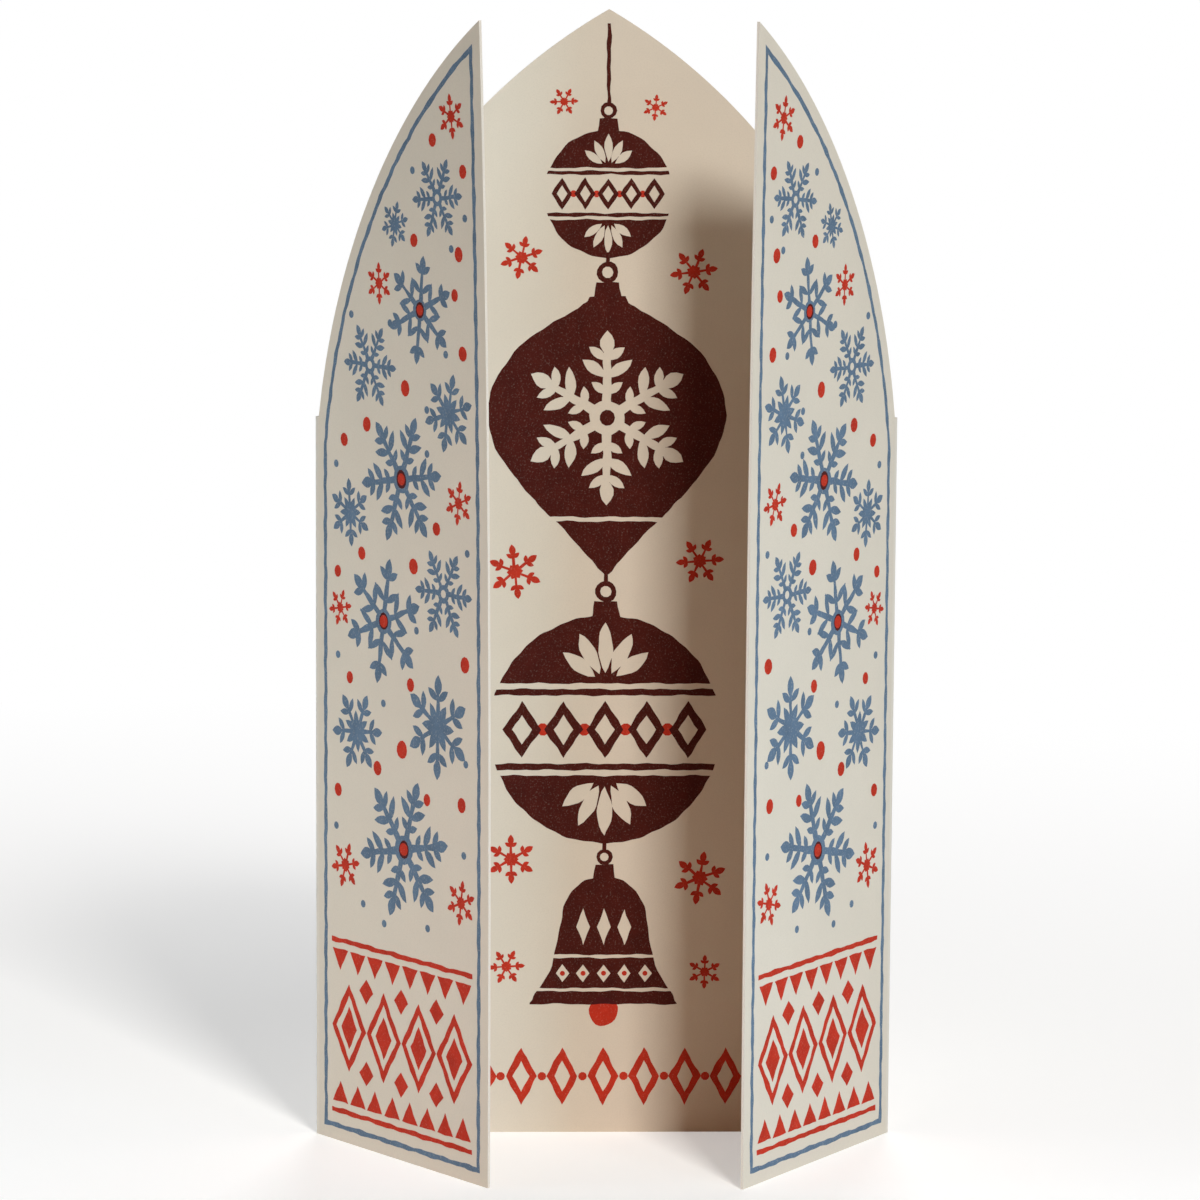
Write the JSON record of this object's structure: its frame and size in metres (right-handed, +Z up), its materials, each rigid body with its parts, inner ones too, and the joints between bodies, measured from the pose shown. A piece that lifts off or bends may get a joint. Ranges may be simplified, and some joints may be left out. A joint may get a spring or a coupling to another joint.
{
  "type": "christmas card",
  "caption": "Gate-fold greeting card cut to a pointed arch, standing open: a full-width back panel with a half-width flap folded forward at each side.",
  "frame": {"origin": "middle of the back panel's bottom edge, halfway through the board", "axes": "+Z up to the point of the arch, +X to the right as seen from the front, -Y out of the front, where the flaps open"},
  "size_m": [0.105, 0.0444, 0.2055],
  "materials": {
    "card_stock": "matte"
  },
  "bodies": {
    "root": {"folded_card": "card_stock"}
  },
  "joints": []
}
